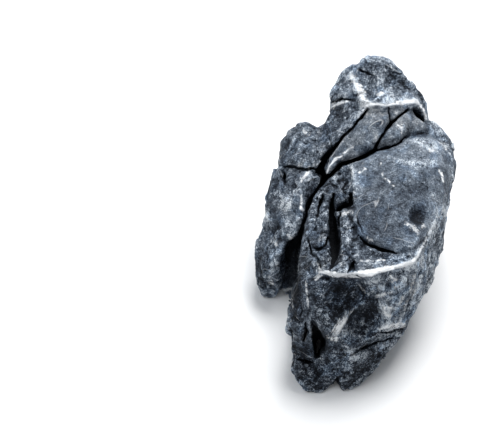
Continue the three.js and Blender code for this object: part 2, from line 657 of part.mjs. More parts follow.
function solidFrom({ positions, triangles }) {
  const mesh = new kit.Mesh({
    numProp: 3,
    vertProperties: Float32Array.from(positions),
    triVerts: Uint32Array.from(triangles),
  });
  return new kit.Manifold(mesh);
}

function meshOf(solid) {
  const { vertProperties, triVerts } = solid.getMesh();
  return { positions: vertProperties, triangles: triVerts };
}

// The ground as a solid, to cut the feet flat.
function groundSolid() {
  const size = 400;
  const box = new THREE.BoxGeometry(size, size, size).translate(0, 0, -size / 2);
  box.deleteAttribute("normal");
  box.deleteAttribute("uv");
  const merged = mergeVertices(box);
  return solidFrom({ positions: merged.attributes.position.array, triangles: merged.index.array });
}

const STONE_LOW = new THREE.Vector3(-80, -112, -6);
const STONE_HIGH = new THREE.Vector3(80, 128, 140);

// Specks that the relief sets free of the stone are left out.
const whole = solidFrom(polygonise(stoneField, STONE_LOW, STONE_HIGH, GRID))
  .decompose()
  .reduce((most, piece) => (piece.volume() > most.volume() ? piece : most));
const resting = solidFrom(simplify(meshOf(whole), TRIANGLES)).subtract(groundSolid());

const shape = meshOf(resting);
const geometry = new THREE.BufferGeometry();
geometry.setAttribute("position", new THREE.BufferAttribute(Float32Array.from(shape.positions), 3));
geometry.setIndex(new THREE.BufferAttribute(shape.triangles, 1));
geometry.computeBoundingBox();
const middle = geometry.boundingBox.getCenter(new THREE.Vector3());
geometry.translate(-middle.x, -middle.y, 0);
geometry.computeVertexNormals();

const stone = new THREE.Mesh(
  geometry,
  new THREE.MeshStandardMaterial({ color: 0x59616b, roughness: 0.85, metalness: 0, flatShading: true }),
);
stone.name = "stone";

const part = new THREE.Group();
part.name = "seiryu_stone";
part.add(stone);

export default part;
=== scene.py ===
"""The looks of a Seiryu stone: one loose piece of blue-grey limestone with deep cracks and white veins."""

import math

import bpy
import numpy as np
import openvdb
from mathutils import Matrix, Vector


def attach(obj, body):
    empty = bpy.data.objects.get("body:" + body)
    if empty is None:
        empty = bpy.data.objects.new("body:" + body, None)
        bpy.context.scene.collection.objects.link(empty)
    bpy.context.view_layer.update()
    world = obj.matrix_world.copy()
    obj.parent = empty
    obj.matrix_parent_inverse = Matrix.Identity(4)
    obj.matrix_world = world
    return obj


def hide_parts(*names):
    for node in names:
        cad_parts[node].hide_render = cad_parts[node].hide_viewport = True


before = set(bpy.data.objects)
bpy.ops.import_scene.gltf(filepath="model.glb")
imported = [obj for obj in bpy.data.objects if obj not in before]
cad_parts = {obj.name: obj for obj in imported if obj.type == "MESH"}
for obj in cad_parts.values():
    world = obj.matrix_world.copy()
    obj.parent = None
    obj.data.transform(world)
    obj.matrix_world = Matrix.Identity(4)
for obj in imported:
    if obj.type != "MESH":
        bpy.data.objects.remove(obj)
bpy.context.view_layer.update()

# Millimetres and degrees, unless a name says otherwise.
FACE_LEAN = 50  # the show face leans back this far from upright
FRAME_X = 0.3  # the frame's origin in the stone's own layout
FRAME_Y = 10.41
VOXEL = 0.7
BAND = 8  # the distance field reaches this many voxels to either side of the surface
MARGIN = 6  # empty voxels kept around the stone
MOST_TRIANGLES = 196000
SOFTEN = 0.9  # blur that takes the facets of the model away before the fine relief comes on
INFLATE = 0.25  # makes good what that blur takes off the ridges
FOLD_INFLATE = 0.35  # lifts the folds as well, which narrows the cracks beside them
RELIEF_REACH = 3.2  # the fine relief is worked out this near to the surface
CRACK_REACH = 4.5  # the same for the cracks
SHOW_OUT = (5, 20)  # the show face begins this far out, and is all there at the second distance
EDGE_REACH = 1.3  # how far around a point a sharp edge is felt
RISE_REACH = 3.6  # the same for a broader rise
DEEP_REACH = 9  # the same for a deep place
COARSE = 4  # voxels of the fine grid to one of the coarse grid, on which deep places are found
NO_MARK = 20  # counts as far from every mark
AWAY_SHIFT = 14  # takes the marks off where the surface turns away from the show face

LEAN_COS = math.cos(math.radians(FACE_LEAN))
LEAN_SIN = math.sin(math.radians(FACE_LEAN))

# Cracks of the show face. Each point of a route is (across, up, width, depth).
CRACKS = [
    [(36, 101, 1, 2), (29, 95.5, 1.4, 4), (23, 92.5, 1.8, 6), (13, 91, 2.2, 6), (6, 87, 2.8, 6),
     (-1, 84.5, 3, 6), (-9, 82, 3.2, 6), (-14, 77, 3.2, 6), (-19, 71.5, 3, 6), (-24, 66, 2.6, 6),
     (-29, 59, 2.4, 6), (-32, 50, 2.2, 6), (-34, 42, 2.6, 6), (-37, 34, 4, 6)],
    [(8, 119, 1.2, 4), (4, 113, 2.2, 6), (0, 108, 1.6, 6), (-6, 102.5, 2.2, 6), (-11, 96, 2.6, 6),
     (-16, 90, 3.2, 6), (-21, 84, 3.6, 6), (-24, 77, 2.6, 6)],
    [(35, 118.5, 1.4, 4), (29, 113, 2, 6), (23, 108, 2.2, 6), (17, 100, 1.8, 6), (12, 91, 1.8, 6)],
    [(22.5, 119, 0.9, 3), (23, 109, 1.4, 5)],
    [(39, 118.5, 1.2, 5), (42.5, 114.5, 4.6, 6), (46, 110.5, 2, 4)],
    [(1, 34, 0.8, 2), (4, 30.5, 1.8, 4), (9, 27.5, 2.6, 6), (15, 25.5, 2.8, 6), (20, 24.8, 2.2, 5),
     (25, 23, 0.8, 2)],
    [(-15, 62, 1.6, 3), (-16, 54, 3.4, 6), (-16, 46, 4.6, 6), (-15, 38, 6.6, 6), (-14.5, 29, 7.4, 6),
     (-15, 20, 5, 6), (-18, 13, 1.4, 3)],
    [(-22, 61, 1.4, 3), (-24, 54, 2.2, 5), (-26, 47, 1.4, 3)],
    [(-12, 51, 2.4, 4), (-9, 54, 3, 5), (-5, 53.5, 3, 5), (-3.4, 56, 3.6, 6), (-3, 62, 1.6, 3)],
    [(-11, 49, 1.2, 3), (-12, 44, 1.6, 4), (-11, 40, 1.2, 3)],
    [(-7, 61, 1, 3), (-8, 65, 1.6, 3), (-6, 69, 1, 2)],
    [(-19, 33, 1.4, 3), (-21, 28, 2.4, 4), (-25, 25.6, 2.6, 4), (-29, 27, 1.2, 2)],
    [(-32, 33, 1.2, 3), (-30, 24, 1.6, 3), (-26, 19, 1.8, 3), (-24, 14, 1, 2)],
    [(-3, 19, 1.2, 3), (-4, 14.5, 2.6, 5), (-8, 11.5, 1.2, 3)],
    [(-14, 124, 1, 2), (-8, 125.5, 1.4, 3), (-3, 125, 1.4, 3), (0, 124, 1, 2)],
    [(3, 146, 1, 2), (8, 143, 1.8, 4), (13, 141, 1, 2)],
    [(-51, 80.5, 1, 2), (-42, 80.5, 1.4, 3), (-35, 78.5, 1.8, 4), (-28, 79.5, 1.8, 4), (-23, 76, 2.2, 5)],
    [(-47, 77, 1.5, 3), (-46.5, 73, 2.4, 4), (-46, 69.5, 1.6, 3)],
    [(-30, -21, 2, 3), (-27, -28, 6, 6), (-25, -35, 9.5, 7), (-26, -44, 5, 5)],
    [(-34, -22, 1.6, 3), (-33, -28, 3.2, 5), (-35, -34, 1.6, 3)],
    [(-38, -46, 1.6, 3), (-33, -48.5, 3.6, 5), (-28, -49, 1.6, 3)],
    [(15, -28, 1.2, 2), (23, -28.5, 1.8, 3), (31, -27, 1.2, 2)],
    [(-4, -43, 1.2, 2), (6, -38, 2, 3), (16, -35, 1.8, 3), (26, -32, 1.2, 2)],
]

# Hairline cracks, as (across, up, width, depth).
HAIRLINES = [
    [(-18, 101, 0.8, 1.5), (-16, 96, 1, 2), (-14, 92, 0.8, 1.5)],
    [(-1, 48, 0.8, 1.2), (0, 43, 1.1, 2), (3, 37, 0.9, 1.6)],
    [(31, 74, 0.7, 0.8), (30, 68, 0.9, 1.2), (34, 66, 0.7, 0.8)],
    [(40, 70, 0.7, 0.8), (46, 66, 1, 1.2), (48, 60, 0.7, 0.8)],
    [(-3, 6, 0.7, 1), (1, 1, 0.9, 1.4), (4, -4, 0.7, 1)],
    [(-40, 100, 0.8, 1), (-33, 96, 1.1, 2), (-24, 98, 0.8, 1)],
    [(-36, 90, 0.8, 1), (-28, 87, 1, 1.8), (-24, 90, 0.8, 1)],
    [(20, 150, 0.8, 1), (25, 144, 1.1, 2), (33, 141, 0.8, 1.4), (38, 135, 0.8, 1)],
    [(-38, -4, 0.8, 1), (-36, -14, 1.1, 2), (-38, -22, 0.8, 1)],
    [(40, 10, 0.7, 1), (38, 2, 1, 1.6), (34, -8, 0.9, 1.4), (32, -16, 0.7, 1)],
    [(46, 26, 0.8, 1), (47, 16, 1, 1.6), (44, 6, 0.8, 1.2)],
]

# White calcite veins of the show face, as (across, up, width).
VEINS = [
    [(-25, 11.5, 0.8), (-21, 10.8, 2.4), (-15, 9.5, 3), (-8, 9, 3), (-3, 9.5, 3.6), (2, 10.1, 4.7),
     (8, 11.1, 4), (14, 12.8, 3), (24, 14.6, 2.7), (33, 16.8, 2.6), (37, 19, 2.2)],
    [(37, 19, 1.2), (41, 26, 1), (46, 35, 0.3), (51, 43, 0.3), (56, 49, 0.8), (60, 53, 0.4)],
    [(3, 120, 0.8), (8, 121, 1.4), (14, 121.6, 1), (22, 121, 1.2), (28, 122.6, 1.8), (36, 123.6, 2),
     (42, 123.6, 1.8), (46, 119, 1.2), (48, 114, 0.9)],
    [(15.8, 86, 0.7), (16, 80, 1.1), (17, 74.5, 1.2), (20, 71, 1.3), (24, 67, 0.8)],
    [(4.6, 83, 0.8), (5.4, 80, 1.1), (6.8, 77.6, 0.7)],
    [(1.5, 76, 1.6), (3, 76.5, 1.2)],
    [(54.8, 78, 1), (57, 75, 1.6), (57.6, 70, 1)],
    [(-30, 80, 1.2), (-31, 76.5, 1.8), (-34, 73.5, 1.4), (-36, 70, 1)],
    [(-36, 62, 1), (-35.6, 57, 1.5), (-36, 52, 1.6), (-33.5, 51.6, 1.2)],
    [(-45, 35, 1), (-43, 33, 1.4), (-41, 32, 1)],
    [(-16.5, 81, 0.8), (-14, 84.5, 1.3), (-9, 87.5, 1.4), (-5, 91, 1.2), (-1, 94, 0.8)],
    [(-19, 75, 0.6), (-18, 79, 0.9), (-16.5, 82, 0.8)],
    [(6.8, 33, 0.8), (9, 31.6, 1)],
    [(-14.5, 121, 0.8), (-10, 123, 1.4), (-6, 124, 1.2), (-3, 124.3, 0.8)],
    [(11, -4.6, 0.9), (15, -4, 1.1), (17, -2.4, 0.8)],
    [(21, -2, 0.6), (24, 1.6, 0.8), (26, 2.4, 0.6)],
    [(15, -12, 0.9), (18, -12.4, 1.1), (22, -11.8, 0.8)],
    [(18, -17, 1.6), (20, -17.6, 1.4)],
    [(14.5, -26.6, 1), (18, -25.6, 2.2), (22, -25, 2.8), (27, -24, 3), (31, -24, 1.4)],
    [(0, 4, 0.5), (3, 0, 0.8), (5, -3, 0.5)],
    [(-24, 9, 1), (-27, 6.5, 1.2), (-28, 5.5, 0.8)],
    [(0, 18, 0.5), (8, 18.6, 0.7), (17, 18.8, 0.5)],
    [(38, 4, 0.8), (37.6, 0, 1), (36.6, -4, 0.7)],
    [(20, 9, 0.9), (24, 6, 1)],
    [(-34, 5, 0.5), (-33, -4, 0.8), (-32.6, -12, 0.6)],
]

# Soft mottled whitening, as (across, up, width).
FROST = [
    [(-2, 143, 3), (1, 136, 7), (4, 129, 9), (6, 124, 9), (11, 121.5, 3)],
    [(14, 122, 2), (20, 121.6, 3), (28, 122.4, 4), (36, 124, 5), (42, 124, 4), (46, 119, 3),
     (48.6, 112, 2.4)],
    [(-16, 120, 2.4), (-11, 123.5, 3), (-4, 125, 2.4), (2, 124, 3)],
    [(12, 130, 5), (20, 126, 8), (32, 126, 5)],
    [(8, 152, 4), (16, 152, 4), (20, 150, 3)],
    [(6, 134, 3), (14, 134, 3), (22, 130, 4)],
    [(28, 112, 3), (31, 106, 5), (32, 102, 3)],
    [(40, 97, 5), (50, 94, 9), (57, 91, 6)],
    [(24, 84, 5), (38, 82, 7), (50, 82, 7), (57, 84, 4)],
    [(54, 108, 3), (60, 100, 4), (63, 92, 4)],
    [(-36, 108, 4), (-33, 103, 5)],
    [(-52, 62, 9), (-48, 55, 13), (-42, 60, 9), (-38, 67, 5)],
    [(-47, 46, 6), (-42, 40, 5), (-44, 33, 4)],
    [(-57, 26, 4), (-54, 16, 5), (-56, 4, 4)],
    [(-3, -12, 2), (-9, -20, 3), (-14, -27, 6), (-16, -31, 5)],
    [(-18, 127, 4), (-13, 135, 6), (-6, 142, 5)],
    [(32, 42, 3), (37, 40, 3.4), (39, 36.5, 3), (45, 41, 3.4)],
    [(-6, -42, 8), (0, -44, 7), (-6, -50, 8)],
    [(-24, -45, 5), (-22, -52, 5)],
    [(40, 24, 5), (46, 34, 7), (52, 43, 8), (60, 53, 7)],
    [(34, 24, 3), (32, 32, 4)],
    [(26, 13, 4), (34, 15, 5), (42, 18, 5)],
    [(2, 72, 3), (6, 80, 3), (14, 82, 3)],
    [(15, -26, 3), (20, -25, 6), (28, -24.4, 6.5), (31, -24, 4)],
    [(14, -4.6, 2.4), (18, -3.4, 2.4)],
    [(16, -11, 4), (20, -14, 6), (18, -18, 4)],
    [(20, 6, 4), (26, 9, 4), (32, 6, 4)],
    [(40, 8, 4), (39, 0, 4), (36, -8, 4)],
    [(28, -6, 4), (27, -14, 4)],
    [(61, 50, 5), (65, 64, 5), (64, 80, 5)],
    [(-27, 16, 4), (-22, 13, 4), (-17, 13, 3)],
    [(4, 16, 4), (16, 19, 5), (30, 21, 4)],
    [(-29, 44, 4), (-26, 40, 6)],
    [(-8, 48, 4), (-7, 40, 5), (-6, 30, 4)],
    [(-33, 3, 2), (-32.6, -8, 2.4), (-33, -18, 2)],
    [(-26, 2, 4), (-27, -10, 5)],
]

# Chalky white patches with ragged edges, as (across, up, width).
CHALK = [
    [(-2, 142, 2), (1, 136, 4), (4, 129, 4), (5.5, 124.5, 5), (10, 121.5, 2.4)],
    [(20, 120.6, 1), (30, 122.6, 2.6), (36, 124, 3), (42, 123.6, 2.6), (46, 118.5, 1.8), (48, 113, 1.4)],
    [(-16.5, 119.5, 1.2), (-12, 123, 2), (-8, 124, 1.4)],
    [(13, 131, 1.2), (16, 128, 2), (20, 130, 1.2)],
    [(28, 108, 1), (30, 105.5, 1.8), (31, 103, 1)],
    [(-4, -13, 1.4), (-7, -17, 1.8), (-11, -22, 3), (-14, -27, 5), (-17, -31, 4), (-13, -33, 2)],
    [(15, -26.4, 1.2), (20, -25.4, 3.4), (27, -25, 4.6), (31, -24, 3)],
    [(12, -4.4, 1), (15, -4, 1.3), (17, -3, 1)],
    [(20, -3, 0.8), (23, 0.5, 1), (26, 3, 1)],
    [(22, 5, 0.9), (25, 7, 1)],
    [(15, -12, 1), (19, -12.4, 1.4), (22, -11.6, 1)],
    [(17, -15, 1.4), (20, -17.6, 1.6), (22, -17, 1)],
    [(34, -2, 0.8), (35, 3, 1), (37, 8, 1.2)],
    [(29, -5, 0.8), (28, -11, 1)],
    [(32, -8, 0.8), (31, -14, 0.9)],
    [(31.5, 42, 1.2), (33, 41, 1.6), (37, 40.4, 1.2)],
    [(37.6, 38, 1.4), (39, 36, 1.8)],
    [(43, 41, 1.2), (46, 42, 1.4)],
    [(6, 33, 1), (9, 31.6, 1.2)],
    [(-54, 33, 1), (-53, 28, 1.4)],
    [(-53, 17, 1.2), (-51.6, 14, 1.4)],
    [(-57, 7, 1.2), (-55, 2, 1.6)],
    [(-10, 48.6, 1), (-7, 50, 1.8), (-4, 50, 1)],
    [(-34, 105, 1), (-31, 102, 1.6)],
    [(-27, 8, 1.4), (-24, 12, 1.8), (-26, 16, 1.2)],
    [(47, 93, 1), (51, 91, 2), (54, 92, 1)],
    [(57, 97, 1), (61, 93, 1.6)],
    [(-6, -41, 1.2), (-1, -45, 1.6)],
]

# Soft dark patches, as (across, up, width). Some are the stone's own darker colour, others are painted shade
# on the folds' lower faces, beneath cracks, below ledges and beside the gap.
SHADE = [
    [(22, 147, 4), (28, 142, 8), (33, 135, 9), (36, 131, 4)],
    [(5, 145, 4), (12, 140, 4), (20, 143, 5)],
    [(-15, 130, 3), (-15, 124, 3)],
    [(-12, 117, 6), (-5, 115, 6), (0, 111, 3)],
    [(44, 130, 4), (47, 124, 3)],
    [(-20, 73, 3), (-12, 81.5, 4), (-3, 87.5, 5), (6, 90, 4), (12, 92, 2)],
    [(12, 94, 3), (20, 97, 6), (28, 99.5, 6), (34, 102.5, 3)],
    [(-31, 61, 5), (-29, 68, 7), (-24, 75, 5)],
    [(-26, 84, 4), (-22, 90, 5), (-17, 97, 4)],
    [(-6, 70, 5), (-5, 62, 7), (-5, 54, 8)],
    [(-16, 58, 5), (-17, 45, 7), (-15, 30, 10), (-15, 18, 6)],
    [(-26, 60, 4), (-24, 50, 3)],
    [(-12, 3, 6), (-8, -2, 12), (-7, -9, 9), (-14, -16, 4)],
    [(3, 0, 4), (8, -9, 9), (9, -19, 12), (7, -29, 8)],
    [(6, 2, 3), (10, -5, 5), (12, -13, 5), (12.5, -22, 5)],
    [(-41, -26, 4), (-43, -36, 4), (-40, -46, 4)],
    [(-38, -52, 8), (-30, -58, 11), (-24, -66, 8)],
    [(-8, -58, 4), (4, -57, 7), (14, -47, 6), (22, -39, 4)],
    [(16, -33, 5), (26, -31, 3)],
    [(10, 23, 2.5), (20, 21.6, 3)],
    [(45, 30, 1.6), (44, 22, 1.6), (47, 12, 1.4)],
    [(56, 46, 2), (59, 38, 4), (56, 31, 3)],
    [(37, 14, 1.4), (37, 4, 1.6), (34, -4, 1.2)],
    [(33, -4, 1.4), (33, -12, 1.6), (30, -19, 1.2)],
    [(24, -4, 3), (20, -6, 2)],
    [(-38, 8, 6), (-40, -2, 8), (-42, -12, 7), (-40, -20, 5)],
    [(-50, 78, 4), (-47, 72, 5), (-47, 66, 3)],
    [(-52, 40, 5), (-50, 30, 5)],
    [(-57, 12, 4), (-52, 4, 4)],
]

# Soft clouds that are lighter or darker than the rest. Some are the stone's own tone, others are painted
# shade, such as the neighbouring stone's shadow along the left edge and the dark wall of the gap, and
# painted light, such as the lift under the head's ledge where its shadow falls.
# Each is (across, up, half width, half height, how much lighter).
CLOUDS = [
    (16, 149, 10, 6, -0.25), (-9, 132, 8, 9, 0.15), (24, 131, 9, 6, 0.1), (16, 117, 15, 5, 0.35),
    (8, 117, 6, 4, 0.15), (28, 117, 9, 4, 0.2), (17, 108, 8, 6, -0.26), (41, 107, 8, 6, 0.12),
    (-14, 87, 10, 8, -0.26), (-29, 76, 9, 20, 0.16), (-51, 88, 9, 13, -0.25), (-54, 60, 9, 12, -0.15),
    (-55, 33, 8, 9, 0.14), (-34, 15, 8, 13, -0.22), (-64, 14, 8, 20, -0.22), (-56, 6, 8, 14, 0.15),
    (-19, 65, 9, 9, -0.22), (-3, 69, 9, 11, 0.28), (-8, 43, 5, 8, 0.15), (8, 45, 16, 20, -0.17),
    (36, 66, 16, 8, -0.17), (37, 76, 10, 5, 0.12), (38, 88, 28, 13, 0.15), (38, 99, 12, 5, 0.14),
    (56, 100, 11, 8, 0.15), (37, 42, 12, 8, -0.13), (54, 48, 11, 18, 0.26), (36, 20, 20, 12, 0.21),
    (4, 26, 15, 12, -0.12), (-24, -5, 8, 8, -0.15), (-16, -19, 7, 6, -0.15), (-16, -38, 6, 5, -0.15),
    (21, -34, 15, 12, 0.22), (-33, -37, 13, 14, -0.28), (0, -53, 8, 6, -0.35), (3, -42, 16, 8, 0.14),
    (1, -24, 8, 9, 0.12), (7, 5, 8, 4, 0.15), (25, -27, 9, 5, 0.15), (-31, 93, 7, 6, 0.15),
    (-25, 78, 6, 8, 0.12),
]

# Outlines of the parts of the show face that look unlike the rest, as (across, up).
OUTLINES = {
    # The smooth sloping slab.
    "slab": [
        (-2, 82), (6, 86.5), (13, 90), (23, 92), (30, 95.5), (37, 101), (47, 102), (56, 99), (63, 90),
        (66, 80), (64, 66), (60, 54), (50, 42), (42, 30), (30, 22), (22, 24.5), (15, 26), (9, 28), (4, 31),
        (0, 37), (-2, 48), (-1, 60), (-2, 70),
    ],
    # The folds of the head, above the slab's long crack.
    "folds": [
        (8, 119), (14, 120.5), (35, 119), (41, 114), (47, 109), (46, 104), (36, 101.5), (28, 96), (20, 92),
        (12, 91.5), (4, 86.5), (-8, 82), (-16, 75), (-21, 70), (-19, 78), (-14, 90), (-6, 101), (0, 107),
    ],
    # The dark strip to the left of the slab.
    "strip": [
        (-8, 81), (-2, 76), (-2, 60), (-3, 46), (0, 34), (-4, 20), (-3, 12), (-20, 11), (-34, 14),
        (-37, 30), (-33, 46), (-27, 60), (-18, 71),
    ],
    # The dark streaked facet of the lower front.
    "facet": [
        (-24, 6), (-10, 5), (3, 5), (7, 1), (10, -5), (13, -12), (14.5, -18), (15, -27), (10, -32),
        (2, -36), (-5, -38), (-16, -34), (-22, -30), (-27, -20), (-28, -8),
    ],
    # The two toes and the front above them.
    "toes": [
        (15, -27), (31, -26), (34, -32), (8, -74), (-40, -74), (-46, -50), (-40, -46), (-30, -40),
        (-10, -38), (2, -37),
    ],
    # The dark column to the left of the facet.
    "column": [
        (-40, 8), (-29, 7), (-27, -4), (-26, -18), (-31, -22), (-44, -20), (-48, -8),
    ],
    # The fluted flank to the right of the facet.
    "flank": [
        (4, 5), (14, 9), (36, 16), (48, 34), (62, 50), (56, 20), (54, 0), (42, -14), (31, -24), (15, -25),
        (14, -14), (9, -3),
    ],
    # The side lobe beyond the gap.
    "lobe": [
        (-54, 80), (-30, 79), (-24, 73), (-33, 52), (-38, 36), (-48, 16), (-52, -8), (-66, -8), (-68, 26),
        (-60, 60),
    ],
    # The pale plate on the lobe.
    "plate": [
        (-57, 60), (-50, 67), (-40, 65), (-36, 56), (-38, 43), (-44, 37), (-52, 41), (-58, 51),
    ],
    # The shoulder above the lobe.
    "shoulder": [
        (-56, 81), (-52, 100), (-42, 112), (-20, 112), (-10, 104), (-16, 91), (-24, 82), (-35, 79),
    ],
    # The gap beside the lobe, painted black as deep shade.
    "gap": [
        (-39, 35), (-37, 30), (-37, 20), (-37, 8), (-39, -6), (-50, -12), (-48, -2), (-46.5, 6), (-47, 20),
        (-46, 28), (-43, 32),
    ],
    # The pit above the toes, painted black as deep shade.
    "pit": [
        (-28, -27), (-25, -25), (-20, -32), (-19.5, -40), (-25, -46), (-29, -40), (-28, -34),
    ],
}
DISH = (40, 48.5, 6.6, 7.4)  # the dark round patch in the slab: across, up and half-sizes

SOFT_BORDER = 1.5  # half the width of the border of a part
CRISP_BORDER = 0.8  # the same for the facet

# Relief of flat faces that meet in sharp edges.
# Each is (length, height everywhere, more of it on rough parts, more of it on broken parts).
FACES = [(15, 0.1, 0.9, 0), (8, 0.14, 0.9, 0), (4, 0.1, 0.6, 0.3)]
FLUTE_LENGTH = 4.6  # flutes are the upright ridges of the flank, the column and the strip
FLUTE_HEIGHT = 0.8
CHIP_LENGTH = 7
CHIP_HEIGHT = (0.05, 0.8, 0)  # everywhere, more on rough parts and more on broken parts, like the next two
JOINT_DEPTH = (0.06, 0.7, 0.5)  # joints between chips
PIT_DEPTH = (0.05, 0.3, 0.6)
PIT_LENGTH = 4.2

# How much smoother each part is than the rough rest of the stone, and how broken each part is.
SMOOTHER = {"slab": 1, "folds": 0.75, "facet": 0.7, "plate": 0.65, "shoulder": 0.3}
BROKEN = {"strip": 1, "lobe": 0.5, "plate": -0.5, "toes": 0.4}

# How much lighter each part is than the rest, and how much stronger its speckle is. The facet, the toes and
# the column of the lower front are darker partly in their own colour and partly as painted shade, since they
# face away from the light.
BASE_TONE = 0.475
LIGHTER = {
    "slab": -0.055, "facet": -0.1, "toes": -0.1, "strip": -0.17, "dish": -0.16, "flank": 0.13,
    "column": -0.2, "folds": 0.01, "lobe": -0.07, "plate": 0.05, "shoulder": -0.08,
}
LIVELIER = {"slab": -0.3, "folds": -0.4, "lobe": -0.1, "facet": 0.5, "toes": 0.5, "away": -0.3}

# Noises of the colour, as (how many per metre, detail, roughness, distortion).
NOISES = {
    "broad": (38, 3, 0.6, 0),
    "patches": (120, 4, 0.62, 0.4),
    "mottle": (420, 3, 0.65, 0),
    "grain": (1300, 3, 0.7, 0),
}
WEIGHTS = {"broad": 0.4, "patches": 1, "mottle": 1.15, "grain": 1.9, "blocks": 0.32}  # in the tone
AWAY_BROAD = 1.2  # the broad noise weighs this much more on the hidden sides
# Streaks of the colour, as (turn in degrees, how many per metre, how many times longer than wide).
STREAKS = {"upright": (0, 620, 9), "slanting": (-32, 560, 8)}

WHITE = (0.88, 0.90, 0.92)  # calcite
WARM = (1.12, 1.0, 0.88)  # the colour is multiplied by this in the browner places
COOL = (0.74, 0.95, 1.18)  # the same in the bluer places
# Colours by tone. A new ramp has a stop at 0 and one at 1, so those two come first.
TONES = [
    (0.0, (0.003, 0.0045, 0.007)), (1.0, (0.61, 0.66, 0.71)), (0.22, (0.013, 0.018, 0.028)),
    (0.45, (0.059, 0.074, 0.096)), (0.6, (0.113, 0.138, 0.171)), (0.8, (0.228, 0.268, 0.32)),
]

shuffle = np.random.default_rng(11)
ORDER = shuffle.permutation(256).astype(np.int32)
WAYS = shuffle.normal(size=(256, 3)).astype(np.float32)
WAYS /= np.linalg.norm(WAYS, axis=1, keepdims=True)
SPOTS = shuffle.random((256, 3)).astype(np.float32)
TURN = np.array([[0.546, -0.407, 0.733], [0.687, 0.717, -0.113], [-0.479, 0.565, 0.671]], np.float32)


def noise(p, length, seed=0):
    """Smooth noise of about -1 to 1 at the points p, whose waves are about length long."""
    q = p / np.asarray(length, np.float32).reshape(-1, 1) + np.float32(seed * 19.7 + 0.37)
    cell = np.floor(q).astype(np.int32)
    f = (q - cell).astype(np.float32)
    fade = f * f * f * (f * (f * 6 - 15) + 10)
    total = np.zeros(q.shape[1], np.float32)
    for x in (0, 1):
        row_x = ORDER[(cell[0] + x) & 255]
        weight_x = fade[0] if x else 1 - fade[0]
        for y in (0, 1):
            row_y = ORDER[(row_x + cell[1] + y) & 255]
            weight_y = weight_x * (fade[1] if y else 1 - fade[1])
            for z in (0, 1):
                way = WAYS[ORDER[(row_y + cell[2] + z) & 255]]
                slope = way[:, 0] * (f[0] - x) + way[:, 1] * (f[1] - y) + way[:, 2] * (f[2] - z)
                total += weight_y * (fade[2] if z else 1 - fade[2]) * slope
    return total * 1.6


def smooth(value, low, high):
    t = np.clip((value - low) / (high - low), 0, 1)
    return t * t * (3 - 2 * t)


def face_place(p):
    """Points of the stone's layout as across, up and out on the show face."""
    return p[0], p[1] * LEAN_SIN + p[2] * LEAN_COS, p[2] * LEAN_SIN - p[1] * LEAN_COS


def outline_distance(across, up, outline):
    """How far points are from an outline, below 0 inside it."""
    nearest = np.full(across.shape, 1e9, np.float32)
    inside = np.zeros(across.shape, bool)
    for (ax, ay), (bx, by) in zip(outline, outline[1:] + outline[:1]):
        dx, dy = bx - ax, by - ay
        share = np.clip(((across - ax) * dx + (up - ay) * dy) / (dx * dx + dy * dy), 0, 1)
        nearest = np.minimum(nearest, np.hypot(across - ax - share * dx, up - ay - share * dy))
        if dy:
            inside ^= ((ay > up) != (by > up)) & (across < dx * (up - ay) / dy + ax)
    return np.where(inside, -nearest, nearest)


def route_distance(across, up, route):
    """How far points are from a route, and what the route's points carry at the nearest place on it."""
    nearest = np.full(across.shape, 1e9, np.float32)
    carried = [np.zeros(across.shape, np.float32) for _ in route[0][2:]]
    for a, b in zip(route, route[1:]):
        dx, dy = b[0] - a[0], b[1] - a[1]
        share = np.clip(((across - a[0]) * dx + (up - a[1]) * dy) / (dx * dx + dy * dy), 0, 1)
        distance = np.hypot(across - a[0] - share * dx, up - a[1] - share * dy)
        closer = distance < nearest
        nearest = np.where(closer, distance, nearest)
        for i, values in enumerate(carried):
            values[closer] = (a[2 + i] + share * (b[2 + i] - a[2 + i]))[closer]
    return nearest, carried


def blur(field, reach):
    """A Gaussian blur of reach millimetres."""
    sigma = reach / VOXEL
    half = max(1, math.ceil(2.2 * sigma))
    weights = np.exp(-0.5 * (np.arange(-half, half + 1) / sigma) ** 2)
    weights /= weights.sum()
    for axis in range(3):
        padded = np.pad(field, [(half, half) if k == axis else (0, 0) for k in range(3)], mode="edge")
        size = field.shape[axis]
        total = np.zeros_like(field)
        for i, weight in enumerate(weights):
            window = [slice(None)] * 3
            window[axis] = slice(i, i + size)
            total += np.float32(weight) * padded[tuple(window)]
        field = total
    return field


def regions(p):
    """How much of each kind of surface there is at each point, from 0 to 1."""
    across, up, out = face_place(p)
    wobble = 1.5 * noise(p, 9, 3) + 0.8 * noise(p, 4, 4)
    facing = smooth(out, *SHOW_OUT)
    made = {}
    for name, outline in OUTLINES.items():
        soft = CRISP_BORDER if name == "facet" else SOFT_BORDER
        inside = -outline_distance(across, up, outline) - wobble * soft / SOFT_BORDER
        made[name] = smooth(inside, -soft, soft) * facing
    dish = np.hypot((across - DISH[0]) / DISH[2], (up - DISH[1]) / DISH[3]) + 0.06 * wobble
    made["dish"] = smooth(1.08 - dish, 0, 0.16) * facing
    return made


def facets(p, bend, length, seed):
    """Noise of about -1 to 1 made of flat faces about length long, which meet in sharp edges."""
    q = (TURN @ (p + 0.25 * length * bend) / np.float32(length) + np.float32(seed * 7.31)).astype(np.float32)
    cell = np.floor(q).astype(np.int32)
    f = q - cell
    order = np.argsort(-f, axis=0)
    steps = np.take_along_axis(f, order, 0)
    total = np.zeros(q.shape[1], np.float32)
    before = np.float32(1)
    # Each cube is six tetrahedra, and the value is linear in each of them.
    for step in range(4):
        after = steps[step] if step < 3 else np.float32(0)
        heights = ORDER[(ORDER[(ORDER[cell[0] & 255] + cell[1]) & 255] + cell[2]) & 255]
        total += (before - after) * (heights.astype(np.float32) / 127.5 - 1)
        before = after
        if step < 3:
            for axis in range(3):
                cell[axis] += order[step] == axis
    return total


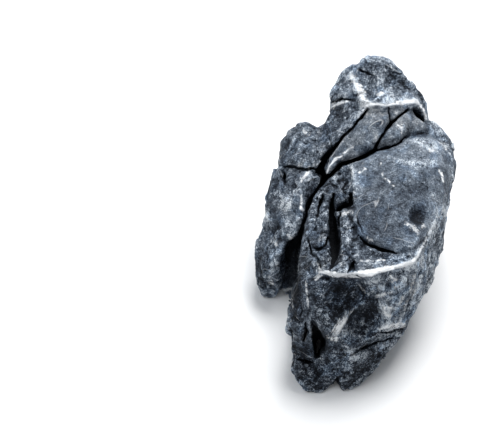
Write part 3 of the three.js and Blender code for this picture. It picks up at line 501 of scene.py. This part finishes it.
def chips(p, bend, length, seed):
    """Random cells about length across: how each one's own flat face lies, and how near its border is."""
    q = (TURN @ (p + 0.3 * length * bend) / np.float32(length) + np.float32(seed * 3.17)).astype(np.float32)
    cell = np.floor(q).astype(np.int32)
    f = q - cell
    first = np.full(q.shape[1], 9, np.float32)
    second = first.copy()
    lie = np.zeros(q.shape[1], np.float32)
    for x in (-1, 0, 1):
        row_x = ORDER[(cell[0] + x) & 255]
        for y in (-1, 0, 1):
            row_y = ORDER[(row_x + cell[1] + y) & 255]
            for z in (-1, 0, 1):
                pick = ORDER[(row_y + cell[2] + z) & 255]
                spot, way = SPOTS[pick], WAYS[pick]
                gap_x, gap_y, gap_z = spot[:, 0] + x - f[0], spot[:, 1] + y - f[1], spot[:, 2] + z - f[2]
                distance = gap_x * gap_x + gap_y * gap_y + gap_z * gap_z
                nearer = distance < first
                second = np.where(nearer, first, np.minimum(second, distance))
                tilt = way[:, 0] * gap_x + way[:, 1] * gap_y + way[:, 2] * gap_z + 0.5 * (spot[:, 0] - 0.5)
                lie = np.where(nearer, tilt, lie)
                first = np.where(nearer, distance, first)
    return lie, np.sqrt(second) - np.sqrt(first)


def relief(p, part):
    """How far the fine relief stands out at each point."""
    rough = np.clip(1 - sum(share * part[name] for name, share in SMOOTHER.items()), 0, 1)
    broken = np.clip(sum(share * part[name] for name, share in BROKEN.items()), 0, 1)
    fluted = np.maximum(np.maximum(part["flank"], part["column"]), part["strip"])
    across, up, out = face_place(p)
    upright = np.stack([across, 0.3 * up, 0.6 * out])
    bend = np.stack([noise(p, 14, seed) for seed in (40, 41, 42)])

    def strength(everywhere, on_rough, on_broken):
        return everywhere + on_rough * rough + on_broken * broken

    height = INFLATE + FOLD_INFLATE * part["folds"]
    for seed, (length, *heights) in enumerate(FACES, 1):
        height += strength(*heights) * facets(p, bend, length, seed)
    height += FLUTE_HEIGHT * fluted * facets(upright, bend, FLUTE_LENGTH, 4)
    # Chipped cells with dark joints between some of them.
    lie, border = chips(p, bend, CHIP_LENGTH, 5)
    height += strength(*CHIP_HEIGHT) * lie
    height -= strength(*JOINT_DEPTH) * smooth(0.14 - border, 0, 0.12) * smooth(bend[0], -0.25, 0.3)
    height -= strength(*PIT_DEPTH) * smooth(noise(p, PIT_LENGTH, 8), 0.25, 0.6)
    return height


def cut_cracks(value, p, routes, jag):
    """The field with the cracks: grooves with jagged edges, whose walls meet at their depth."""
    across, up, out = face_place(p)
    reach = 6  # further than any crack goes from its route
    for route in routes:
        sides = [(min(q[k] for q in route) - reach, max(q[k] for q in route) + reach) for k in (0, 1)]
        inside = (across > sides[0][0]) & (across < sides[0][1]) & (up > sides[1][0]) & (up < sides[1][1])
        near = np.nonzero(inside & (out > SHOW_OUT[1]))[0]
        here = p[:, near]
        shift_a = jag * (0.8 * noise(here, 3.2, 12) + 0.9 * noise(here, 8, 13))
        shift_u = jag * (0.8 * noise(here, 3.2, 14) + 0.9 * noise(here, 8, 15))
        distance, (width, depth) = route_distance(across[near] + shift_a, up[near] + shift_u, route)
        now = value[near]
        share = np.clip(-now / depth, 0, 1)
        wall = distance - width / 2 * (1 - share * share)
        value[near] = np.maximum(now, -np.maximum(wall, -(now + depth)))
    return value


def stone_field(cad):
    """The distance field with the fine relief, the field without it, and their lowest corner in voxels."""
    mesh = cad.data
    mesh.calc_loop_triangles()
    points = np.empty(len(mesh.vertices) * 3, np.float32)
    mesh.vertices.foreach_get("co", points)
    triangles = np.empty(len(mesh.loop_triangles) * 3, np.int32)
    mesh.loop_triangles.foreach_get("vertices", triangles)
    points = points.reshape(-1, 3) * 1000
    grid = openvdb.FloatGrid.createLevelSetFromPolygons(
        points, triangles=triangles.reshape(-1, 3), transform=openvdb.createLinearTransform(voxelSize=VOXEL),
        halfWidth=BAND)
    low = np.floor(points.min(0) / VOXEL).astype(int) - MARGIN
    high = np.ceil(points.max(0) / VOXEL).astype(int) + MARGIN
    field = np.full(high - low, BAND * VOXEL, np.float32)
    grid.copyToArray(field, ijk=tuple(int(v) for v in low))
    field = blur(field, SOFTEN)
    at = np.nonzero(np.abs(field) < CRACK_REACH)
    p = np.stack([(a + o).astype(np.float32) * VOXEL for a, o in zip(at, low)])
    p[0] += FRAME_X
    p[1] += FRAME_Y
    height = p[2].copy()
    shell = field.copy()
    value = field[at]
    near = np.nonzero(np.abs(value) < RELIEF_REACH)[0]
    value[near] -= relief(p[:, near], regions(p[:, near]))
    value = cut_cracks(value, p, CRACKS, 1)
    value = cut_cracks(value, p, HAIRLINES, 0.8)
    # The feet stay flat.
    field[at] = np.maximum(value, -height)
    return field, shell, low


def polygons(field, low):
    """The surface of the field as vertices and faces, in millimetres, without loose specks."""
    grid = openvdb.FloatGrid(BAND * VOXEL)
    grid.copyFromArray(field, ijk=tuple(int(v) for v in low))
    grid.transform = openvdb.createLinearTransform(voxelSize=VOXEL)
    points, quads = grid.convertToQuads(0)
    # Each vertex takes the lowest number among its neighbours until nothing changes.
    # So each body has one number.
    label = np.arange(len(points))
    edges = np.concatenate([quads[:, [0, 1]], quads[:, [1, 2]], quads[:, [2, 3]]]).astype(np.int64)
    while True:
        least = np.minimum(label[edges[:, 0]], label[edges[:, 1]])
        before = label.copy()
        np.minimum.at(label, edges[:, 0], least)
        np.minimum.at(label, edges[:, 1], least)
        label = label[label]
        if (label == before).all():
            break
    main = np.bincount(label).argmax()
    quads = quads[label[quads[:, 0]] == main]
    kept, quads = np.unique(quads, return_inverse=True)
    return points[kept], quads.reshape(-1, 4)


def sample(field, low, p):
    """The field's value at points in millimetres of the frame."""
    q = p / VOXEL - low[:, None]
    q = np.clip(q, 0, np.array(field.shape)[:, None] - 1.001)
    cell = q.astype(int)
    f = q - cell
    total = 0
    for x in (0, 1):
        for y in (0, 1):
            for z in (0, 1):
                weight = np.prod([f[k] if way else 1 - f[k] for k, way in enumerate((x, y, z))], axis=0)
                total = total + weight * field[cell[0] + x, cell[1] + y, cell[2] + z]
    return total


def deepness(field, low, p):
    """How much of the space around each point is stone, from about -1 on a spike to 1 in a deep gap."""
    coarse = field[::COARSE, ::COARSE, ::COARSE] / (BAND * VOXEL)
    spread = blur(np.pad(coarse, MARGIN, mode="edge"), DEEP_REACH / COARSE)
    return -sample(spread, low / COARSE - MARGIN, p / COARSE)


def nearest_mark(across, up, routes):
    """How far points are from the edge of the nearest of the marks, below 0 on one."""
    least = np.full(across.shape, NO_MARK, np.float32)
    for route in routes:
        distance, (width,) = route_distance(across, up, route)
        least = np.minimum(least, distance - width / 2)
    return least


def surface_object(field, low):
    """The field's surface as an object, thinned to at most MOST_TRIANGLES triangles."""
    points, quads = polygons(field, low)
    full = bpy.data.meshes.new("seiryu_stone")
    full.from_pydata((points / 1000).tolist(), [], quads.tolist())
    stone = bpy.data.objects.new("seiryu_stone", full)
    bpy.context.scene.collection.objects.link(stone)
    thin = stone.modifiers.new("thin", "DECIMATE")
    thin.ratio = min(1, MOST_TRIANGLES / (2 * len(quads)))
    thin.use_collapse_triangulate = True
    evaluated = stone.evaluated_get(bpy.context.evaluated_depsgraph_get())
    thinned = bpy.data.meshes.new_from_object(evaluated)
    stone.modifiers.clear()
    stone.data = thinned
    bpy.data.meshes.remove(full)
    thinned.name = "seiryu_stone"
    thinned.shade_smooth()
    return stone


def vectors(items, name):
    """One vector of each item, as rows of x, y and z."""
    values = np.empty(len(items) * 3, np.float32)
    items.foreach_get(name, values)
    return values.reshape(-1, 3).T


def clouds(across, up):
    """How much lighter the soft clouds make each point."""
    total = np.zeros(across.shape, np.float32)
    for middle_a, middle_u, half_a, half_u, lighter in CLOUDS:
        far = ((across - middle_a) / half_a) ** 2 + ((up - middle_u) / half_u) ** 2
        total += lighter * np.maximum(0, 1 - far) ** 1.5
    return total


def make_stone(cad):
    field, shell, low = stone_field(cad)
    stone = surface_object(field, low)
    mesh = stone.data
    here = vectors(mesh.vertices, "co") * 1000
    p = here.copy()
    p[0] += FRAME_X
    p[1] += FRAME_Y
    across, up, out = face_place(p)
    turned = 1 - smooth(face_place(vectors(mesh.vertex_normals, "vector"))[2], 0, 0.35)
    away = np.maximum(turned, 1 - smooth(out, *SHOW_OUT))
    wander_a = 0.5 * noise(p, 4, 21) + 0.35 * noise(p, 1.8, 22)
    wander_u = 0.5 * noise(p, 4, 23) + 0.35 * noise(p, 1.8, 24)
    values = {
        "cloud": clouds(across + 3 * wander_a, up + 3 * wander_u) * (1 - away),
        "edge": sample(blur(field, EDGE_REACH), low, here),
        "rise": sample(blur(field, RISE_REACH), low, here),
        "deep": deepness(field, low, here),
        "buried": -sample(shell, low, here),
        "away": away,
        **regions(p),
    }
    marks = {"vein": (VEINS, 1), "chalk": (CHALK, 1), "frost": (FROST, 2), "shade": (SHADE, 2)}
    for name, (routes, ragged) in marks.items():
        distance = nearest_mark(across + ragged * wander_a, up + ragged * wander_u, routes)
        values[name] = distance + AWAY_SHIFT * away
    for name, value in values.items():
        attribute = mesh.attributes.new(name, "FLOAT", "POINT")
        attribute.data.foreach_set("value", np.ascontiguousarray(value, np.float32))
    return stone


class Graph:
    """Builds a material's nodes, with plain numbers or other nodes' outputs as inputs."""

    def __init__(self, name):
        self.material = bpy.data.materials.new(name)
        self.material.use_nodes = True
        self.tree = self.material.node_tree
        self.shader = self.tree.nodes["Principled BSDF"]

    def feed(self, socket, value):
        if isinstance(value, bpy.types.NodeSocket):
            self.tree.links.new(value, socket)
        elif isinstance(value, tuple) and len(socket.default_value) == 4:
            socket.default_value = (*value, 1)
        else:
            socket.default_value = value

    def node(self, kind, inputs, **settings):
        made = self.tree.nodes.new(kind)
        for name, value in settings.items():
            setattr(made, name, value)
        for key, value in inputs.items():
            self.feed(made.inputs[key], value)
        return made

    def math(self, operation, a, b=0.0):
        return self.node("ShaderNodeMath", {0: a, 1: b}, operation=operation).outputs[0]

    def add(self, *values):
        total = values[0]
        for value in values[1:]:
            total = self.math("ADD", total, value)
        return total

    def times(self, a, b):
        return self.math("MULTIPLY", a, b)

    def weighted(self, start, values, weights):
        """start and the weighted values together."""
        return self.add(start, *(self.times(values[name], weight) for name, weight in weights.items()))

    def step(self, value, low, high):
        """0 where value is at low and 1 where it is at high, with soft ends."""
        made = self.node("ShaderNodeMapRange", {"Value": value, "From Min": low, "From Max": high},
                         interpolation_type="SMOOTHSTEP")
        return made.outputs[0]

    def blend(self, share, a, b):
        made = self.node("ShaderNodeMix", {0: share, 6: a, 7: b}, data_type="RGBA")
        return made.outputs[2]

    def multiply(self, share, a, b):
        made = self.node("ShaderNodeMix", {0: share, 6: a, 7: b}, data_type="RGBA", blend_type="MULTIPLY")
        return made.outputs[2]

    def ramp(self, value, stops):
        """Colours by value, from (value, colour) stops."""
        made = self.node("ShaderNodeValToRGB", {0: value})
        elements = made.color_ramp.elements
        for (place, colour), index in zip(stops, range(len(stops))):
            element = elements[index] if index < 2 else elements.new(place)
            element.position = place
            element.color = (*colour, 1)
        return made.outputs[0]

    def noise(self, where, per_metre, detail=3.0, roughness=0.6, distortion=0.0):
        made = self.node("ShaderNodeTexNoise", {"Vector": where, "Scale": per_metre, "Detail": detail,
                                                "Roughness": roughness, "Distortion": distortion})
        return made.outputs["Fac"]

    def streaks(self, where, turn, per_metre, long):
        """Noise drawn out along one direction of the show face, at turn degrees from upright."""
        onto_face = {"Vector": where, "Rotation": (math.radians(90 - FACE_LEAN), 0, 0)}
        face = self.node("ShaderNodeMapping", onto_face, vector_type="TEXTURE").outputs[0]
        stretched = {"Vector": face, "Rotation": (0, 0, math.radians(turn)), "Scale": (1, long, 3)}
        drawn = self.node("ShaderNodeMapping", stretched, vector_type="TEXTURE")
        return self.noise(drawn.outputs[0], per_metre, 3.0, 0.65)

    def cells(self, where, per_metre):
        """One random number for each cell."""
        made = self.node("ShaderNodeTexVoronoi", {"Vector": where, "Scale": per_metre})
        return self.node("ShaderNodeSeparateColor", {0: made.outputs["Color"]}).outputs[0]

    def value(self, name):
        return self.node("ShaderNodeAttribute", {}, attribute_name=name).outputs["Fac"]


def stone_tone(g, part, speck, streak, calm):
    """How light the stone is, from 0 to 1 along TONES."""
    normal = g.node("ShaderNodeNewGeometry", {}).outputs["Normal"]
    faces_up = g.node("ShaderNodeSeparateXYZ", {0: normal}).outputs["Z"]
    uneven = g.add(speck["patches"], speck["mottle"], -1.0)
    frost = g.step(g.add(g.value("frost"), g.times(uneven, 9.0)), 1.2, -3.2)
    shade = g.step(g.add(g.value("shade"), g.times(uneven, 6.0)), 1.6, -2.6)
    spread = g.weighted(-0.5 * sum(WEIGHTS.values()), speck, WEIGHTS)
    spread = g.add(spread, g.times(part["away"], g.times(g.add(speck["broad"], -0.5), AWAY_BROAD)))
    tone = g.add(BASE_TONE, g.value("cloud"), g.times(spread, g.add(calm, g.times(frost, 0.5))))
    # Painted light: the faces that look up are lighter. Sharp ridges are lighter as worn edges, and creases
    # are darker as painted shade.
    tone = g.add(tone, g.times(faces_up, 0.05), g.times(g.value("edge"), 0.36))
    # Broad rises are lighter and hollows darker, as painted shade.
    tone = g.add(tone, g.times(g.value("rise"), 0.03), g.times(frost, 0.24), g.times(shade, -0.2))
    tone = g.weighted(tone, part, LIGHTER)
    fluted = g.weighted(0.0, part, {"flank": 0.8, "strip": 0.8, "column": 0.5})
    slanting = g.times(part["facet"], g.times(streak["slanting"], 1.1))
    return g.add(tone, g.times(fluted, streak["upright"]), slanting)


def tinted(g, where, part, colour):
    """The colour with browner and bluer places."""
    brown = g.step(g.noise(where, 60.0, 3.0), 0.48, 0.64)
    brown = g.times(brown, g.weighted(0.2, part, {"strip": 0.4, "shoulder": 0.4}))
    colour = g.multiply(g.add(brown, g.times(part["folds"], 0.45)), colour, WARM)
    blue = g.step(g.noise(where, 90.0, 4.0, 0.6, 0.5), 0.46, 0.7)
    blue = g.times(blue, g.weighted(0.5, part, {"flank": 0.25, "facet": 0.25}))
    return g.multiply(blue, colour, COOL)


def chalked(g, part, speck, streak, colour):
    """The colour with chalky patches, which look shattered on the facet and the flank."""
    slanting = g.times(part["facet"], streak["slanting"])
    ragged = g.add(speck["patches"], speck["mottle"], speck["grain"], speck["blocks"], -2.0)
    chalk = g.add(g.value("chalk"), g.times(ragged, 3.0), g.times(slanting, -9.0))
    upright = g.times(part["flank"], streak["upright"])
    fine = g.add(speck["grain"], speck["mottle"], -1.0)
    shattered = g.add(0.72, g.times(fine, 1.7), g.times(slanting, 3.0), g.times(upright, 2.0))
    return g.blend(g.times(g.step(chalk, 0.5, -0.9), shattered), colour, WHITE)


def veined(g, where, part, speck, is_vein, colour):
    """The colour with the veins of the show face, thin threads and the long seams of the hidden sides."""
    fine = g.add(speck["grain"], speck["mottle"])
    colour = g.blend(g.times(is_vein, g.add(0.56, g.times(fine, 0.4))), colour, WHITE)
    thread = g.math("ABSOLUTE", g.add(g.noise(where, 26.0, 2.0, 0.45, 0.6), -0.5))
    broken = g.step(g.noise(where, 70.0, 2.0), 0.5, 0.62)
    thread = g.times(g.step(g.add(thread, g.times(speck["grain"], 0.006)), 0.0075, 0.0035), broken)
    colour = g.blend(g.times(thread, g.add(0.3, g.times(part["away"], 0.45))), colour, WHITE)
    seam = g.math("ABSOLUTE", g.add(g.noise(where, 9.0, 1.0, 0.4, 0.5), -0.52))
    seam = g.add(seam, g.times(g.add(speck["patches"], speck["mottle"], -1.0), 0.012))
    return g.blend(g.times(g.step(seam, 0.007, 0.0005), g.times(part["away"], 0.7)), colour, WHITE)


def painted_shade_share(g, part):
    """How much painted shade darkens each place, from 0 in the open to 1 at the bottom of the cracks and
    gaps.
    """
    deep = g.math("MAXIMUM", g.step(g.value("deep"), 0.15, 0.42), g.step(g.value("buried"), 1.8, 3.6))
    black = g.times(g.math("MAXIMUM", part["gap"], part["pit"]), g.add(1.0, g.times(part["away"], -0.5)))
    return g.math("MAXIMUM", deep, black)


def stone_material():
    g = Graph("seiryu_limestone")
    where = g.node("ShaderNodeTexCoord", {}).outputs["Object"]
    part = {name: g.value(name) for name in (*OUTLINES, "dish", "away")}
    speck = {name: g.noise(where, *shape) for name, shape in NOISES.items()}
    speck["blocks"] = g.times(g.add(g.cells(where, 330.0), g.cells(where, 900.0)), 0.5)
    streak = {name: g.add(g.streaks(where, *shape), -0.5) for name, shape in STREAKS.items()}
    calm = g.weighted(1.0, part, LIVELIER)
    ragged = g.add(g.times(g.add(speck["mottle"], speck["grain"], -1.0), 1.6),
                   g.times(g.add(speck["patches"], -0.5), 1.2))
    is_vein = g.step(g.add(g.value("vein"), ragged), 0.5, -0.4)

    colour = g.ramp(stone_tone(g, part, speck, streak, calm), TONES)
    colour = tinted(g, where, part, colour)
    colour = chalked(g, part, speck, streak, colour)
    colour = veined(g, where, part, speck, is_vein, colour)
    # Painted shade: the cracks, the gap and the pit are darkened to near black.
    colour = g.blend(g.times(painted_shade_share(g, part), 0.96), colour, TONES[0][1])
    g.feed(g.shader.inputs["Base Color"], colour)
    rough = g.add(0.72, g.times(g.add(speck["mottle"], -0.5), 0.35), g.times(part["slab"], -0.08),
                  g.times(is_vein, -0.1))
    g.feed(g.shader.inputs["Roughness"], rough)
    g.feed(g.shader.inputs["Specular IOR Level"], 0.16)
    height = g.weighted(0.0, speck, {"patches": 0.8, "mottle": 1.0, "grain": 0.4})
    bump = g.node("ShaderNodeBump", {"Height": g.times(height, calm), "Distance": 0.0018, "Strength": 1.0})
    g.feed(g.shader.inputs["Normal"], bump.outputs[0])
    return g.material


def plain_material(name, colour, roughness):
    g = Graph(name)
    g.feed(g.shader.inputs["Base Color"], colour)
    g.feed(g.shader.inputs["Roughness"], roughness)
    return g.material


def aim(obj, place, target):
    obj.location = place
    obj.rotation_mode = "QUATERNION"
    obj.rotation_quaternion = (Vector(target) - Vector(place)).to_track_quat("-Z", "Y")


def area_light(name, place, target, size, watts, colour=(1, 1, 1)):
    data = bpy.data.lights.new(name, "AREA")
    data.size, data.energy, data.color = size, watts, colour
    light = bpy.data.objects.new(name, data)
    bpy.context.scene.collection.objects.link(light)
    aim(light, place, target)


stone = make_stone(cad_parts["stone"])
stone.data.materials.append(stone_material())
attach(stone, "root")
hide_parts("stone")

FLOOR_WIDTH = 8  # metres
bpy.ops.mesh.primitive_plane_add(size=FLOOR_WIDTH)
floor = bpy.context.object
floor.name = "floor"
floor.data.materials.append(plain_material("pale_floor", (0.88, 0.88, 0.88), 0.9))

# Metres and watts.
STONE_MIDDLE = (0, 0, 0.06)
WORLD_COLOUR = (0.93, 0.96, 1, 1)
WORLD_STRENGTH = 0.36
world = bpy.data.worlds.new("studio")
bpy.context.scene.world = world
world.use_nodes = True
world.node_tree.nodes["Background"].inputs["Color"].default_value = WORLD_COLOUR
world.node_tree.nodes["Background"].inputs["Strength"].default_value = WORLD_STRENGTH
area_light("key", (0.2, 0.5, 1.0), STONE_MIDDLE, size=0.6, watts=18)
area_light("fill", (-0.6, -0.15, 0.8), STONE_MIDDLE, size=0.6, watts=3, colour=(0.92, 0.96, 1))

# Metres, but for the sensor's millimetres. The camera looks square at the show face.
# The middle of the picture is a place on the show face of the stone's own layout.
DISTANCE = 1.6
PICTURE_WIDTH = 0.33333  # at the stone
SENSOR = 36
MIDDLE_ACROSS, MIDDLE_UP, MIDDLE_OUT = -0.070, 0.046, 0.045
camera_data = bpy.data.cameras.new("camera")
camera_data.sensor_width = SENSOR
camera_data.lens = SENSOR * DISTANCE / PICTURE_WIDTH
camera = bpy.data.objects.new("camera", camera_data)
bpy.context.scene.collection.objects.link(camera)
target = Vector((MIDDLE_ACROSS - FRAME_X / 1000,
                 MIDDLE_UP * LEAN_SIN - MIDDLE_OUT * LEAN_COS - FRAME_Y / 1000,
                 MIDDLE_UP * LEAN_COS + MIDDLE_OUT * LEAN_SIN))
aim(camera, target + Vector((0, -LEAN_COS, LEAN_SIN)) * DISTANCE, target)
bpy.context.scene.camera = camera
bpy.context.scene.view_settings.view_transform = "Standard"
